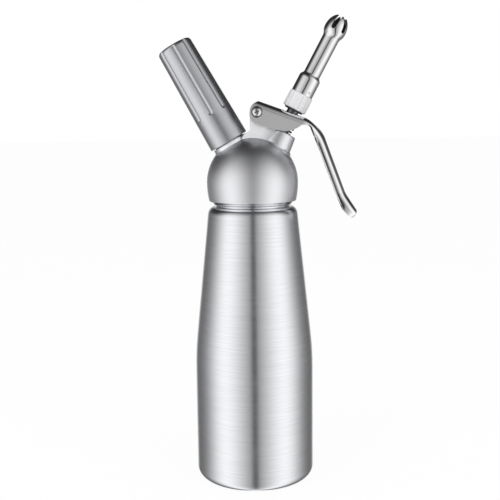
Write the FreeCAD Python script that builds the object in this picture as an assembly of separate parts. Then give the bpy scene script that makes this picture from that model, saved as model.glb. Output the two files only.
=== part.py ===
import FreeCAD, Part
import os
from math import acos, atan2, cos, degrees, hypot, pi, radians, sin, sqrt, tan

V = FreeCAD.Vector

# Whipped cream dispenser: a bottle, a cast head that screws onto it, a gas charger in a
# screwed holder on the left, and on the right a plunger valve worked by a pressed lever.
# Frame: origin at the middle of the foot, +Z up the bottle, +X to the lever's side.

# Bottle
BOTTLE_R = 40.0
FOOT_FILLET = 6.0
FOOT_RING_R = 30.0
FOOT_HOLLOW = 2.2
CONE_START_Z = 87.1
CONE_ANGLE = 6.02
CONE_BLEND = 12.0
SHOULDER_TOP_Z = 186.4
SHOULDER_R = 5.5
BOTTLE_WALL = 1.8
BOTTLE_FLOOR = 4.0
NECK_R = 24.4
NECK_BORE_R = 21.5
RIM_Z = 206.0

# Screw threads: pitch, and the gap kept between the two flanks and between crest and root
THREAD_GAP = 0.2
NECK_PITCH = 3.0
NECK_THREAD_DEPTH = 1.1
NECK_THREAD_Z = 190.5
NECK_THREAD_TURNS = 3.5
SPIGOT_PITCH = 1.75
SPIGOT_THREAD_DEPTH = 0.8
SPIGOT_THREAD_TURNS = 4.5
STEM_PITCH = 1.5
STEM_THREAD_DEPTH = 0.6
STEM_THREAD_TURNS = 3.5

# Head
DOME_Z = 202.0
DOME_R = 30.35
SKIRT_BELLY_R = 58.0
SKIRT_Z = 189.8
SKIRT_FOOT_Z = 187.4
SKIRT_FOOT_R = 25.7
HEAD_BORE_R = 24.7
LEDGE_Z = 208.5
LEDGE_R = 20.6
CAVITY_TOP_Z = 226.0
WEB_HALF = 9.2
HUB_R = 4.7
HUB_HALF = 10.3

# Charger side: stations run up the holder's axis from its foot
CHARGER_FOOT = V(0, 0, DOME_Z)
CHARGER_TILT = -29.5
CHARGER_BOSS_R = 11.8
CHARGER_BOSS_TOP = 30.6
SPIGOT_R = 10.9
SPIGOT_TOP = 42.0
SPIGOT_BORE_R = 6.5
HOLDER_FOOT = 31.1
HOLDER_TOP = 102.75
HOLDER_FOOT_R = 13.35
HOLDER_TOP_R = 11.95
HOLDER_BORE_R = 9.6
HOLDER_END_FILLET = 2.5
FLUTE_COUNT = 8
FLUTE_START = 51.2
FLUTE_TOOL_R = 2.6
FLUTE_DEPTH = 1.0
FLUTE_TURN = -3.0
CHARGER_R = 9.0
CHARGER_LENGTH = 65.0
CHARGER_FACE = 31.6
CHARGER_NECK_R = 4.4
CHARGER_WALL = 1.4
PIN_R = 5.0
PIN_FOOT = 21.0
PIN_SEAT = 29.0
NEEDLE_R = 0.8
NEEDLE_TOP = 34.4
GAS_WAY_R = 0.35
CHECK_VALVE_R = 3.6

# Valve side: stations run up the plunger's axis from its foot
VALVE_FOOT = V(2.4, 0, DOME_Z)
VALVE_TILT = 28.1
VALVE_BOSS_R = 9.8
VALVE_BOSS_ROOT_R = 10.75
VALVE_BOSS_TOP = 37.7
INNER_BOSS_R = 8.5
INNER_BOSS_FOOT = 15.5
WELL_R = 7.0
WELL_FLOOR = 28.0
GUIDE_R = 6.0
GUIDE_BORE_R = 4.0
GUIDE_FOOT = 15.0
GUIDE_FLANGE = 1.0
RUNNING_GAP = 0.05
STEM_R = GUIDE_BORE_R - RUNNING_GAP
STEM_BORE_R = 2.0
STEM_FOOT = 10.0
STEM_TOP = 62.0
STEM_SHOULDER_R = 6.3
STEM_SHOULDER = 42.3
STEM_SHOULDER_TOP = 49.15
SPRING_CAP_R = 6.4
SPRING_CAP = 41.1
SPRING_WIRE_R = 0.6
SPRING_R = 5.55
SPRING_TURNS = 5.5
SPRING_END_TURNS = 0.75
SPRING_END_PITCH = 2 * SPRING_WIRE_R + 0.45
SPRING_LOW = WELL_FLOOR + GUIDE_FLANGE + SPRING_WIRE_R + 0.05
SPRING_HIGH = SPRING_CAP - SPRING_WIRE_R - 0.05
SEAL_R = 5.6
SEAL_BORE_R = 2.52
SEAL_FOOT = 13.0
PLUG_FOOT = 9.2
O_RING_AT = 22.4
PORTS_AT = 17.3
PORT_R = 1.1

# Tip
TIP_BASE = 53.9
TIP_BASE_TOP = 64.8
TIP_BASE_R = 8.1
TIP_FLUTES = 12
TIP_SOCKET_R = 7.35
TIP_SOCKET_TOP = 75.7
TIP_BARREL = 78.8
TIP_BARREL_R = 5.65
TIP_CROWN = 105.2
TIP_CROWN_R = 7.45
TIP_END = 120.6
TIP_END_R = 3.6
TIP_WALL = 0.9
TIP_SLOTS = 6
TIP_SLOT = 1.9
TIP_SLOT_ROOT = 111.7
TIP_SLOT_TURN = -18.0

# Lever
PIVOT = V(3.3, 0, 248.0)
PIVOT_R = 2.5
SLEEVE_BORE_R = 1.5
RING_R = 3.75
SCREW_HEAD_R = 3.0
SCREW_END = -4.0
CROSS_LENGTH = 3.2
CROSS_WIDTH = 0.75
CROSS_TURN = 25
LEVER_HALF = 12.0
LEVER_SHEET = 1.5
LEVER_FOLD_R = 2.4
PLATE_CROWN = 0.2
GRIP_FOLD_R = 3.4
GRIP_CROWN = 32.0
PLATE_SLOPE = 20.0
PLATE_POINT = V(5.7, 0, 254.5)
BEND_START = 34.05
BEND_R = 25.0
GRIP_SLOPE = 69.6
GRIP_LENGTH = 35.5
TAIL_SLOPE = 56.5
TAIL_R = 20.0
TAIL_ROUNDING = ((3.5, 7.4), (7.0, 7.2), (9.8, 6.6), (12.2, 5.4), (14.0, 3.8))
PLATE_START = -4.0
PLATE_DEPTH = 17.0
BEND_STEPS = 6
GRIP_TOP_HALF = 8.6
GRIP_HALF = 7.4
GRIP_DEPTH = 9.0
STEM_SLOT = 8.6
STEM_SLOT_LENGTH = 10.2
STEM_SLOT_AT = 21.4


# Shapes

def outline(start, *steps):
    """Closed face in the XZ plane: (x, z) draws a line, (mx, mz, x, z) an arc by its middle."""
    edges = []
    here = V(start[0], 0, start[1])
    for step in steps + (start,):
        there = V(step[-2], 0, step[-1])
        if len(step) == 4:
            edges.append(Part.Arc(here, V(step[0], 0, step[1]), there).toShape())
        elif (there - here).Length > 1e-6:
            edges.append(Part.LineSegment(here, there).toShape())
        here = there
    return Part.Face(Part.Wire(edges))


def turned(start, *steps):
    """Solid turned about Z from an outline given as (radius, height)."""
    return outline(start, *steps).revolve(V(0, 0, 0), V(0, 0, 1), 360)


def rod(radius, low, high):
    return Part.makeCylinder(radius, high - low, V(0, 0, low))


def tube(outer, inner, low, high):
    return rod(outer, low, high).cut(rod(inner, low - 1, high + 1))


def slab(face, half):
    """Plate of an XZ outline, from -half to half in Y."""
    plate = face.extrude(V(0, 2 * half, 0))
    plate.translate(V(0, -half, 0))
    return plate


def around(shape, count, first=0.0):
    """The shape repeated about Z."""
    copies = []
    for i in range(count):
        turned_copy = shape.copy()
        turned_copy.rotate(V(0, 0, 0), V(0, 0, 1), first + i * 360.0 / count)
        copies.append(turned_copy)
    return Part.makeCompound(copies)


def on_charger_axis(shape):
    placed = shape.copy()
    placed.rotate(V(0, 0, 0), V(0, 1, 0), CHARGER_TILT)
    placed.translate(CHARGER_FOOT)
    return placed


def on_valve_axis(shape):
    placed = shape.copy()
    placed.rotate(V(0, 0, 0), V(0, 1, 0), VALVE_TILT)
    placed.translate(VALVE_FOOT)
    return placed


def thread(wall_r, crest_r, pitch, low, turns):
    """Screw ridge on a wall, crest outwards or inwards, sunk a little into the wall."""
    out = 1 if crest_r > wall_r else -1
    sunk_r = wall_r - out * 0.3
    foot = pitch * 0.33 - THREAD_GAP / 2
    crest = pitch * 0.13 - THREAD_GAP / 2
    points = [
        V(sunk_r, 0, -foot),
        V(crest_r, 0, -crest),
        V(crest_r, 0, crest),
        V(sunk_r, 0, foot),
    ]
    section = Part.makePolygon(points + points[:1])
    helix = Part.makeHelix(pitch, pitch * turns, wall_r)
    ridge = Part.Wire(helix.Edges).makePipeShell([section], True, True)
    ridge.translate(V(0, 0, low))
    return ridge


# Bottle

def cone_r(z):
    return BOTTLE_R - (z - CONE_START_Z) * tan(radians(CONE_ANGLE))


def bottle():
    lean = radians(CONE_ANGLE)
    blend_r = CONE_BLEND / tan(lean / 2)
    blend_low = CONE_START_Z - CONE_BLEND
    blend_mid_z = blend_low + blend_r * sin(lean / 2)
    blend_top_z = blend_low + blend_r * sin(lean)
    cap_z = SHOULDER_TOP_Z - SHOULDER_R
    cap_r = cone_r(cap_z) - SHOULDER_R / cos(lean)
    shoulder_low = (cap_r + SHOULDER_R * cos(lean), cap_z + SHOULDER_R * sin(lean))
    meet = acos((NECK_R - cap_r) / SHOULDER_R)
    half = (meet + lean) / 2
    shoulder_mid = (cap_r + SHOULDER_R * cos(half), cap_z + SHOULDER_R * sin(half))
    neck_low = (NECK_R, cap_z + SHOULDER_R * sin(meet))
    root_r = NECK_R - NECK_THREAD_DEPTH
    foot_arc = FOOT_FILLET * (1 - sqrt(0.5))
    shell = turned(
        (0, FOOT_HOLLOW),
        (FOOT_RING_R - 6, FOOT_HOLLOW),
        (FOOT_RING_R, 0),
        (BOTTLE_R - FOOT_FILLET, 0),
        (BOTTLE_R - foot_arc, foot_arc, BOTTLE_R, FOOT_FILLET),
        (BOTTLE_R, blend_low),
        (
            BOTTLE_R - blend_r * (1 - cos(lean / 2)), blend_mid_z,
            BOTTLE_R - blend_r * (1 - cos(lean)), blend_top_z,
        ),
        shoulder_low,
        shoulder_mid + neck_low,
        (NECK_R, NECK_THREAD_Z - 1.8),
        (root_r, NECK_THREAD_Z - 1.0),
        (root_r, RIM_Z - 0.6),
        (root_r - 0.6, RIM_Z),
        (0, RIM_Z),
    )
    inner_r = BOTTLE_R - BOTTLE_WALL
    corner = FOOT_FILLET - BOTTLE_WALL
    corner_arc = corner * (1 - sqrt(0.5))
    inner_top = SHOULDER_TOP_Z - 4.5
    hollow = turned(
        (0, BOTTLE_FLOOR),
        (inner_r - corner, BOTTLE_FLOOR),
        (inner_r - corner_arc, BOTTLE_FLOOR + corner_arc, inner_r, BOTTLE_FLOOR + corner),
        (inner_r, blend_low),
        (
            inner_r - blend_r * (1 - cos(lean / 2)), blend_mid_z,
            inner_r - blend_r * (1 - cos(lean)), blend_top_z,
        ),
        (cone_r(inner_top - 5) - BOTTLE_WALL, inner_top - 5),
        (cone_r(inner_top) - BOTTLE_WALL - 1.6, inner_top - 0.6, NECK_BORE_R + 2.0, inner_top + 1.6),
        (NECK_BORE_R, inner_top + 3.4),
        (NECK_BORE_R, RIM_Z + 1),
        (0, RIM_Z + 1),
    )
    ridge = thread(root_r, NECK_R, NECK_PITCH, NECK_THREAD_Z, NECK_THREAD_TURNS)
    return shell.cut(hollow).fuse(ridge)


def head_gasket():
    return tube(NECK_R - 0.2, LEDGE_R, RIM_Z + 0.05, LEDGE_Z - 0.05)


# Head

def cavity_sphere():
    """Height and radius of the ball that meets the ledge and the cavity's top."""
    rise = CAVITY_TOP_Z - LEDGE_Z
    radius = (LEDGE_R ** 2 + rise ** 2) / (2 * rise)
    return CAVITY_TOP_Z - radius, radius


def dome():
    half_low = (SKIRT_Z + DOME_Z) / 2
    belly = DOME_R - SKIRT_BELLY_R
    skirt_r = belly + sqrt(SKIRT_BELLY_R ** 2 - (DOME_Z - SKIRT_Z) ** 2)
    mid_r = belly + sqrt(SKIRT_BELLY_R ** 2 - (DOME_Z - half_low) ** 2)
    side = DOME_R * sqrt(0.5)
    return turned(
        (0, SKIRT_FOOT_Z),
        (SKIRT_FOOT_R, SKIRT_FOOT_Z),
        (skirt_r, SKIRT_Z),
        (mid_r, half_low, DOME_R, DOME_Z),
        (side, DOME_Z + side, 0, DOME_Z + DOME_R),
    )


def valve_boss():
    edge = 0.6
    return on_valve_axis(turned(
        (0, INNER_BOSS_FOOT),
        (INNER_BOSS_R, INNER_BOSS_FOOT),
        (INNER_BOSS_R, 22),
        (VALVE_BOSS_ROOT_R + 1.6, 26.4),
        (VALVE_BOSS_ROOT_R + 0.3, 27.6, VALVE_BOSS_ROOT_R, 29.3),
        (VALVE_BOSS_R, VALVE_BOSS_TOP - edge),
        (VALVE_BOSS_R - edge, VALVE_BOSS_TOP),
        (0, VALVE_BOSS_TOP),
    ))


def charger_boss():
    root_r = SPIGOT_R - SPIGOT_THREAD_DEPTH
    return on_charger_axis(turned(
        (0, 20),
        (CHARGER_BOSS_R + 0.7, 20),
        (CHARGER_BOSS_R, CHARGER_BOSS_TOP - 0.4),
        (CHARGER_BOSS_R - 0.4, CHARGER_BOSS_TOP),
        (root_r, CHARGER_BOSS_TOP),
        (root_r, SPIGOT_TOP - 0.5),
        (root_r - 0.5, SPIGOT_TOP),
        (0, SPIGOT_TOP),
    ))


def web():
    """Flat wall between the two bosses that carries the lever's hub."""
    left = PIVOT.x - HUB_R
    right = (PIVOT.x + HUB_R * cos(radians(20)), PIVOT.z - HUB_R * sin(radians(20)))
    top = (PIVOT.x + HUB_R * sin(radians(35)), PIVOT.z + HUB_R * cos(radians(35)))
    wall = slab(outline(
        (left, PIVOT.z),
        top + right,
        (13.2, 240.0),
        (18.0, 232.0),
        (12.0, 222.0),
        (-9.0, 222.0),
        (-6.5, 231.5),
        (-4.7, 234.35),
        (left - 0.9, 235.6, left, 238.6),
    ), WEB_HALF)
    hub = Part.makeCylinder(HUB_R, 2 * HUB_HALF, PIVOT - V(0, HUB_HALF, 0), V(0, 1, 0))
    return wall.fuse(hub)


def head():
    cavity_z, cavity_r = cavity_sphere()
    casting = dome().fuse([charger_boss(), web()])
    lean = cavity_r * sqrt(0.5)
    cavity = turned(
        (0, SKIRT_FOOT_Z - 1),
        (HEAD_BORE_R + 0.7, SKIRT_FOOT_Z - 1),
        (HEAD_BORE_R, SKIRT_FOOT_Z + 0.6),
        (HEAD_BORE_R, LEDGE_Z),
        (LEDGE_R, LEDGE_Z),
        (lean, cavity_z + lean, 0, CAVITY_TOP_Z),
    )
    casting = casting.cut(cavity)
    casting = casting.fuse(valve_boss())
    pin_bore = on_charger_axis(rod(PIN_R, 18, 29.0))
    spigot_bore = on_charger_axis(rod(SPIGOT_BORE_R, 29.0, SPIGOT_TOP + 1))
    guide_bore = on_valve_axis(rod(GUIDE_R, 10, WELL_FLOOR))
    well = on_valve_axis(rod(WELL_R, WELL_FLOOR, VALVE_BOSS_TOP + 1))
    pivot_bore = Part.makeCylinder(PIVOT_R, 40, PIVOT - V(0, 20, 0), V(0, 1, 0))
    casting = casting.cut([pin_bore, spigot_bore, guide_bore, well, pivot_bore])
    crest_r = NECK_R - NECK_THREAD_DEPTH + THREAD_GAP
    bore_ridge = thread(
        HEAD_BORE_R, crest_r, NECK_PITCH, NECK_THREAD_Z + NECK_PITCH / 2, NECK_THREAD_TURNS
    )
    spigot_ridge = thread(
        SPIGOT_R - SPIGOT_THREAD_DEPTH, SPIGOT_R, SPIGOT_PITCH,
        CHARGER_BOSS_TOP + 1.6, SPIGOT_THREAD_TURNS,
    )
    return casting.fuse([bore_ridge, on_charger_axis(spigot_ridge)])


# Charger side

def piercing_pin():
    """Screwed-in insert with a hollow needle that opens the charger."""
    body = turned(
        (0, PIN_FOOT),
        (2.6, PIN_FOOT),
        (2.6, PIN_FOOT + 2.0),
        (PIN_R, PIN_FOOT + 2.4),
        (PIN_R, PIN_SEAT),
        (NEEDLE_R, PIN_SEAT),
        (NEEDLE_R, NEEDLE_TOP - 1.6),
        (0.15, NEEDLE_TOP),
        (0, NEEDLE_TOP),
    )
    way = rod(GAS_WAY_R, PIN_FOOT - 1, NEEDLE_TOP - 2.6)
    side_way = Part.makeCylinder(GAS_WAY_R, 4, V(-2, 0, NEEDLE_TOP - 2.6), V(1, 0, 0))
    return on_charger_axis(body.cut([way, side_way]))


def pin_seal():
    return on_charger_axis(tube(4.3, NEEDLE_R + 0.25, PIN_SEAT + 0.05, CHARGER_FACE - 0.1))


def check_valve():
    """Rubber cap over the insert's foot that lets gas in and keeps cream out."""
    cap = turned(
        (0, PIN_FOOT - 1.3),
        (CHECK_VALVE_R - 0.7, PIN_FOOT - 1.3),
        (CHECK_VALVE_R, PIN_FOOT - 0.6),
        (CHECK_VALVE_R, PIN_FOOT + 1.9),
        (2.65, PIN_FOOT + 1.9),
        (2.65, PIN_FOOT - 0.05),
        (0, PIN_FOOT - 0.05),
    )
    return on_charger_axis(cap)


def gas_charger():
    top = CHARGER_FACE + CHARGER_LENGTH
    neck_top = CHARGER_FACE + 6.0
    shoulder = CHARGER_FACE + 16.0
    ball = top - CHARGER_R
    inner_r = CHARGER_R - CHARGER_WALL
    side = CHARGER_R * sqrt(0.5)
    inner_side = inner_r * sqrt(0.5)
    body = turned(
        (0, CHARGER_FACE),
        (CHARGER_NECK_R - 0.6, CHARGER_FACE),
        (CHARGER_NECK_R, CHARGER_FACE + 0.6),
        (CHARGER_NECK_R, neck_top),
        (CHARGER_NECK_R + 1.9, neck_top + 5.2, CHARGER_R - 0.6, shoulder - 1.0),
        (CHARGER_R, shoulder + 1.2),
        (CHARGER_R, ball),
        (side, ball + side, 0, top),
    )
    gas = turned(
        (0, neck_top),
        (CHARGER_NECK_R - CHARGER_WALL, neck_top),
        (CHARGER_NECK_R + 1.0, neck_top + 6.2, inner_r - 0.6, shoulder - 0.4),
        (inner_r, shoulder + 1.8),
        (inner_r, ball),
        (inner_side, ball + inner_side, 0, top - CHARGER_WALL),
    )
    pierced = rod(NEEDLE_R + 0.25, CHARGER_FACE - 1, neck_top + 1)
    return on_charger_axis(body.cut([gas, pierced]))


def charger_holder():
    slope = (HOLDER_FOOT_R - HOLDER_TOP_R) / (HOLDER_TOP - HOLDER_FOOT)
    fillet_low = HOLDER_TOP - HOLDER_END_FILLET
    arc = HOLDER_END_FILLET * (1 - sqrt(0.5))
    sleeve = turned(
        (0, HOLDER_FOOT),
        (HOLDER_FOOT_R - 0.3, HOLDER_FOOT),
        (HOLDER_FOOT_R, HOLDER_FOOT + 0.3),
        (HOLDER_TOP_R, fillet_low),
        (HOLDER_TOP_R - arc, HOLDER_TOP - arc, HOLDER_TOP_R - HOLDER_END_FILLET, HOLDER_TOP),
        (0, HOLDER_TOP),
    )
    root_r = SPIGOT_R + THREAD_GAP
    end = CHARGER_FACE + CHARGER_LENGTH + 0.4
    bore = turned(
        (0, HOLDER_FOOT - 1),
        (root_r, HOLDER_FOOT - 1),
        (root_r, SPIGOT_TOP + 1.0),
        (HOLDER_BORE_R, SPIGOT_TOP + 2.5),
        (HOLDER_BORE_R, end - 5.0),
        (HOLDER_BORE_R - 1.6, end - 1.6, HOLDER_BORE_R - 5.0, end),
        (0, end),
    )
    groove_r = HOLDER_FOOT_R - slope * (FLUTE_START - HOLDER_FOOT) + FLUTE_TOOL_R - FLUTE_DEPTH
    rise = HOLDER_TOP - FLUTE_START
    cutter = Part.makeCylinder(FLUTE_TOOL_R, rise + 5, V(0, 0, 0)).fuse(
        Part.makeSphere(FLUTE_TOOL_R, V(0, 0, 0))
    )
    cutter.rotate(V(0, 0, 0), V(1, 0, 0), -degrees(atan2(slope, 1)))
    cutter.translate(V(0, -groove_r, FLUTE_START + FLUTE_TOOL_R * 0.8))
    body = sleeve.cut(bore).cut(around(cutter, FLUTE_COUNT, FLUTE_TURN).Solids)
    ridge = thread(
        root_r, SPIGOT_R - SPIGOT_THREAD_DEPTH + THREAD_GAP, SPIGOT_PITCH,
        CHARGER_BOSS_TOP + 1.6 + SPIGOT_PITCH / 2, SPIGOT_THREAD_TURNS,
    )
    return on_charger_axis(body.fuse(ridge))


# Valve side

def valve_guide():
    """Bush that guides the plunger; its foot is the valve's seat and its flange holds the spring."""
    bush = turned(
        (GUIDE_BORE_R, GUIDE_FOOT),
        (GUIDE_R - 0.8, GUIDE_FOOT),
        (GUIDE_R, GUIDE_FOOT + 0.8),
        (GUIDE_R, WELL_FLOOR),
        (WELL_R - 0.1, WELL_FLOOR),
        (WELL_R - 0.1, WELL_FLOOR + GUIDE_FLANGE),
        (GUIDE_BORE_R, WELL_FLOOR + GUIDE_FLANGE),
    )
    return on_valve_axis(bush)


def valve_stem():
    """Hollow plunger: side ports low down, a shoulder for the lever, a thread for the tip."""
    root_r = STEM_R - STEM_THREAD_DEPTH
    body = turned(
        (0, STEM_FOOT),
        (SEAL_BORE_R - 0.02, STEM_FOOT),
        (SEAL_BORE_R - 0.02, GUIDE_FOOT + 0.1),
        (STEM_R, GUIDE_FOOT + 0.1),
        (STEM_R, O_RING_AT - 0.9),
        (STEM_R - 0.95, O_RING_AT - 0.9),
        (STEM_R - 0.95, O_RING_AT + 0.9),
        (STEM_R, O_RING_AT + 0.9),
        (STEM_R, STEM_SHOULDER),
        (STEM_SHOULDER_R, STEM_SHOULDER),
        (STEM_SHOULDER_R, STEM_SHOULDER_TOP - 1.9),
        (STEM_SHOULDER_R - 0.6, STEM_SHOULDER_TOP - 0.8, STEM_SHOULDER_R - 1.9, STEM_SHOULDER_TOP),
        (STEM_R, STEM_SHOULDER_TOP),
        (STEM_R, TIP_BASE + 0.8),
        (root_r, TIP_BASE + 1.4),
        (root_r, STEM_TOP - 0.4),
        (root_r - 0.4, STEM_TOP),
        (0, STEM_TOP),
    )
    ports = [rod(STEM_BORE_R, 16.0, STEM_TOP + 1)]
    for turn in (0, 90):
        port = Part.makeCylinder(PORT_R, 12, V(-6, 0, PORTS_AT), V(1, 0, 0))
        port.rotate(V(0, 0, 0), V(0, 0, 1), turn)
        ports.append(port)
    ridge = thread(root_r, STEM_R, STEM_PITCH, TIP_BASE + 2.0, STEM_THREAD_TURNS)
    return on_valve_axis(body.cut(ports).fuse(ridge))


def stem_o_ring():
    return on_valve_axis(Part.makeTorus(STEM_R - 0.45, 0.48, V(0, 0, O_RING_AT), V(0, 0, 1)))


def valve_seal():
    return on_valve_axis(tube(SEAL_R, SEAL_BORE_R, SEAL_FOOT, GUIDE_FOOT - 0.05))


def valve_plug():
    """Nut that clamps the seal on the plunger's foot."""
    nut = turned(
        (SEAL_BORE_R, PLUG_FOOT),
        (SEAL_R - 1.3, PLUG_FOOT),
        (SEAL_R - 0.6, PLUG_FOOT + 0.8),
        (SEAL_R - 0.6, SEAL_FOOT - 0.02),
        (SEAL_BORE_R, SEAL_FOOT - 0.02),
    )
    return on_valve_axis(nut)


def spring_cap():
    return on_valve_axis(tube(SPRING_CAP_R, STEM_R + 0.04, SPRING_CAP, STEM_SHOULDER - 0.02))


def arc_leaving(here, along, there):
    """Arc from one point to another that leaves the first along a direction."""
    chord = there - here
    half = chord.Length / 2
    unit = chord.normalize()
    side = along - unit * along.dot(unit)
    bend = along.getAngle(unit)
    middle = (here + there) * 0.5 + side.normalize() * half * tan(bend / 2)
    return Part.Arc(here, middle, there).toShape()


def biarc(here, along, there, towards):
    """Two arcs that join two points and hold the direction at each."""
    gap = there - here
    both = along + towards
    a = 2 * (1 - along.dot(towards))
    b = 2 * gap.dot(both)
    reach = (sqrt(b * b + 4 * a * gap.dot(gap)) - b) / (2 * a)
    meet = (here + there + (along - towards) * reach) * 0.5
    second = arc_leaving(there, towards * -1, meet)
    return [arc_leaving(here, along, meet), second.reversed()]


def spring_rise(turn):
    """Height of the wire's middle: the end turns lie closer than the working turns."""
    ends = SPRING_END_TURNS
    body_turns = SPRING_TURNS - 2 * ends
    body = (SPRING_HIGH - SPRING_LOW - 2 * ends * SPRING_END_PITCH) / body_turns
    closed = min(turn, ends) + max(turn - SPRING_TURNS + ends, 0)
    open_turns = min(max(turn - ends, 0), body_turns)
    return SPRING_LOW + closed * SPRING_END_PITCH + open_turns * body


def spring_point(turn):
    angle = 2 * pi * turn
    return V(SPRING_R * cos(angle), SPRING_R * sin(angle), spring_rise(turn))


def valve_spring():
    quarter = 0.25
    step = 0.001
    stations = [i * quarter for i in range(int(SPRING_TURNS / quarter) + 1)]
    slopes = []
    for turn in stations:
        low = max(turn - step, 0)
        high = min(turn + step, SPRING_TURNS)
        slopes.append((spring_point(high) - spring_point(low)).normalize())
    edges = []
    for i in range(len(stations) - 1):
        here = spring_point(stations[i])
        there = spring_point(stations[i + 1])
        edges += biarc(here, slopes[i], there, slopes[i + 1])
    path = Part.Wire(edges)
    circle = Part.makeCircle(SPRING_WIRE_R, spring_point(0), slopes[0])
    coil = path.makePipeShell([Part.Wire([circle])], True, False)
    fine = [spring_point(i / 40.0) for i in range(int(SPRING_TURNS * 40) + 1)]
    nearest = min(
        (fine[i] - fine[j]).Length for i in range(len(fine)) for j in range(i + 20, len(fine))
    )
    print("spring: least gap to itself %.2f mm" % (nearest - 2 * SPRING_WIRE_R))
    return on_valve_axis(coil)


# Tip

def tip_gasket():
    return on_valve_axis(tube(6.3, STEM_R + 0.25, TIP_BASE - 0.9, TIP_BASE - 0.05))


def tip_base():
    """Fluted plastic base that screws onto the plunger and holds the steel tip."""
    root_r = STEM_R + THREAD_GAP
    body = turned(
        (root_r, TIP_BASE),
        (TIP_BASE_R - 0.5, TIP_BASE),
        (TIP_BASE_R, TIP_BASE + 0.5),
        (TIP_BASE_R, TIP_BASE_TOP - 0.4),
        (TIP_BASE_R - 0.4, TIP_BASE_TOP),
        (TIP_SOCKET_R - TIP_WALL - 0.02, TIP_BASE_TOP),
        (TIP_SOCKET_R - TIP_WALL - 0.02, TIP_BASE_TOP + 7.0),
        (TIP_SOCKET_R - TIP_WALL - 0.8, TIP_BASE_TOP + 8.0),
        (4.4, TIP_BASE_TOP + 8.0),
        (4.4, STEM_TOP + 0.6),
        (root_r, STEM_TOP + 0.6),
    )
    flute = Part.makeCylinder(1.5, 40, V(0, -TIP_BASE_R - 1.05, TIP_BASE - 5))
    body = body.cut(around(flute, TIP_FLUTES, 15.0).common(
        rod(20, TIP_BASE - 1, TIP_BASE_TOP + 0.01)
    ).Solids)
    crest_r = STEM_R - STEM_THREAD_DEPTH + THREAD_GAP
    ridge = thread(
        root_r, crest_r, STEM_PITCH, TIP_BASE + 2.0 + STEM_PITCH / 2, STEM_THREAD_TURNS
    )
    return on_valve_axis(body.fuse(ridge))


def decorating_tip():
    """Steel tube with a wide socket below and a crown of prongs above."""
    low = TIP_BASE_TOP + 0.05
    shell = turned(
        (TIP_SOCKET_R - TIP_WALL, low),
        (TIP_SOCKET_R, low),
        (TIP_SOCKET_R, TIP_SOCKET_TOP),
        (TIP_SOCKET_R - 0.25, TIP_SOCKET_TOP + 1.6, TIP_BARREL_R + 0.5, TIP_BARREL - 0.2),
        (TIP_BARREL_R, TIP_BARREL + 0.6),
        (TIP_BARREL_R, TIP_CROWN),
        (TIP_BARREL_R + 0.15, TIP_CROWN + 1.0, TIP_BARREL_R + 0.6, TIP_CROWN + 1.8),
        (TIP_CROWN_R - 0.1, TIP_SLOT_ROOT + 1.2, TIP_END_R, TIP_END),
        (TIP_END_R - TIP_WALL, TIP_END),
        (
            TIP_CROWN_R - 0.1 - TIP_WALL, TIP_SLOT_ROOT + 0.9,
            TIP_BARREL_R + 0.5 - TIP_WALL, TIP_CROWN + 2.2,
        ),
        (TIP_BARREL_R - TIP_WALL, TIP_CROWN + 0.4),
        (TIP_BARREL_R - TIP_WALL, TIP_BARREL),
        (TIP_SOCKET_R - TIP_WALL, TIP_SOCKET_TOP - 0.4),
    )
    slot = Part.makeBox(TIP_SLOT, 20, 20, V(-TIP_SLOT / 2, -20, TIP_SLOT_ROOT))
    root = Part.makeCylinder(TIP_SLOT / 2, 20, V(0, -20, TIP_SLOT_ROOT), V(0, 1, 0))
    cutter = slot.fuse(root)
    return on_valve_axis(shell.cut(around(cutter, TIP_SLOTS, TIP_SLOT_TURN).Solids))


# Lever

def heading(slope):
    return V(cos(radians(slope)), 0, -sin(radians(slope)))


def outward(slope):
    return V(sin(radians(slope)), 0, cos(radians(slope)))


def lever_section(point, slope, half, depth, fold, crown):
    """Channel of bent sheet with a crowned top, open below, square to the lever's line."""
    down = outward(slope) * -1
    lean = radians(crown)
    middle = (lean + pi / 2) / 2
    reach = half - fold * (1 - sin(lean))
    top_r = reach / sin(lean)
    fold_y = reach - fold * sin(lean)
    fold_deep = top_r * (1 - cos(lean)) + fold * cos(lean)

    def at(y, deep):
        return point + V(0, y, 0) + down * deep

    def top_point(radius):
        return at(0, top_r - radius)

    def fold_point(side, radius, angle):
        return at(side * (fold_y + radius * sin(angle)), fold_deep - radius * cos(angle))

    def skin(inset):
        """Points down one skin: flange foot, fold, crown, fold, flange foot."""
        radius = fold - inset
        crown_r = top_r - inset
        return [
            at(-half + inset, depth),
            fold_point(-1, radius, pi / 2), fold_point(-1, radius, middle),
            fold_point(-1, radius, lean), top_point(crown_r),
            fold_point(1, radius, lean), fold_point(1, radius, middle),
            fold_point(1, radius, pi / 2), at(half - inset, depth),
        ]

    outer = skin(0)
    inner = skin(LEVER_SHEET)[::-1]
    edges = []
    for points in (outer, inner):
        edges.append(Part.LineSegment(points[0], points[1]).toShape())
        for i in (1, 3, 5):
            edges.append(Part.Arc(points[i], points[i + 1], points[i + 2]).toShape())
        edges.append(Part.LineSegment(points[7], points[8]).toShape())
    edges.insert(5, Part.LineSegment(outer[8], inner[0]).toShape())
    edges.append(Part.LineSegment(inner[8], outer[0]).toShape())
    return Part.Wire(edges)


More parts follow.
